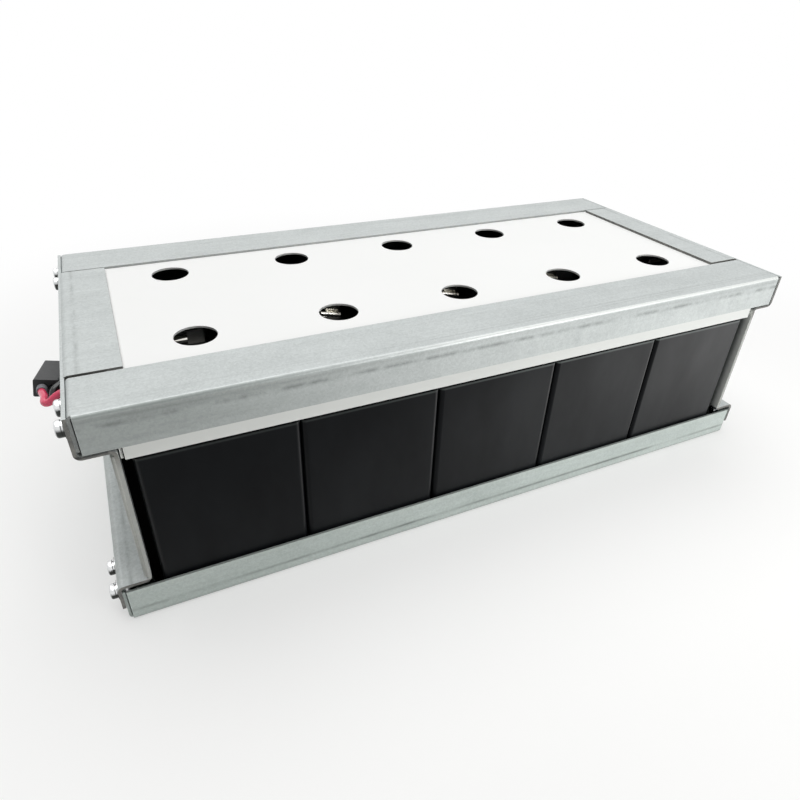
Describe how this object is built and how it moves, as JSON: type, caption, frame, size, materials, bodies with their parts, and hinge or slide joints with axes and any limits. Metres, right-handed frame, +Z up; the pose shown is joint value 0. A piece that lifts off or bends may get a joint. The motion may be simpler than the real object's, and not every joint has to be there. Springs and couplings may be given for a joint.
{
  "type": "ups battery kit",
  "caption": "Battery kit for an uninterruptible power supply: sealed batteries in a galvanised steel frame under a holed white cover, with leads to a two-pole connector.",
  "frame": {"origin": "middle of the tray's underside", "axes": "+X along the row of batteries, connector at the -X end; -Y is the front; +Z up"},
  "size_m": [0.4105, 0.1852, 0.1146],
  "materials": {
    "galvanised_steel": "satin",
    "white_plastic": "matte",
    "battery_plastic": "satin",
    "bright_zinc": "gloss",
    "tinned_brass": "satin",
    "black_insulation": "satin",
    "red_insulation": "gloss",
    "rubber": "matte",
    "connector_plastic": "satin",
    "foam": "matte",
    "insulating_film": "matte"
  },
  "bodies": {
    "root": {"bottom_tray": "galvanised_steel", "front_top_rail": "galvanised_steel", "back_top_rail": "galvanised_steel", "left_end_plate": "galvanised_steel", "right_end_plate": "galvanised_steel", "top_cover": "white_plastic", "battery_case_front_1": "battery_plastic", "battery_lid_front_1": "battery_plastic", "battery_case_front_2": "battery_plastic", "battery_lid_front_2": "battery_plastic", "battery_case_front_3": "battery_plastic", "battery_lid_front_3": "battery_plastic", "battery_case_front_4": "battery_plastic", "battery_lid_front_4": "battery_plastic", "battery_case_front_5": "battery_plastic", "battery_lid_front_5": "battery_plastic", "vent_strips_front": "battery_plastic", "battery_case_back_1": "battery_plastic", "battery_lid_back_1": "battery_plastic", "battery_case_back_2": "battery_plastic", "battery_lid_back_2": "battery_plastic", "battery_case_back_3": "battery_plastic", "battery_lid_back_3": "battery_plastic", "battery_case_back_4": "battery_plastic", "battery_lid_back_4": "battery_plastic", "battery_case_back_5": "battery_plastic", "battery_lid_back_5": "battery_plastic", "vent_strips_back": "battery_plastic", "left_end_screws": "bright_zinc", "left_flat_washers": "bright_zinc", "left_lock_washers": "bright_zinc", "left_press_nuts": "bright_zinc", "left_foam_pad": "foam", "right_end_screws": "bright_zinc", "right_flat_washers": "bright_zinc", "right_lock_washers": "bright_zinc", "right_press_nuts": "bright_zinc", "right_foam_pad": "foam", "positive_tabs": "tinned_brass", "negative_tabs": "tinned_brass", "positive_receptacles": "tinned_brass", "negative_receptacles": "tinned_brass", "connector_contacts": "tinned_brass", "series_link_1": "black_insulation", "series_link_2": "black_insulation", "series_link_3": "black_insulation", "series_link_4": "black_insulation", "series_link_5": "black_insulation", "series_link_6": "black_insulation", "series_link_7": "black_insulation", "series_link_8": "black_insulation", "row_link": "black_insulation", "black_lead_inner": "black_insulation", "black_lead": "black_insulation", "red_lead_inner": "red_insulation", "red_lead": "red_insulation", "lead_grommet": "rubber", "connector_housing": "connector_plastic", "tray_insulator": "insulating_film"}
  },
  "joints": []
}
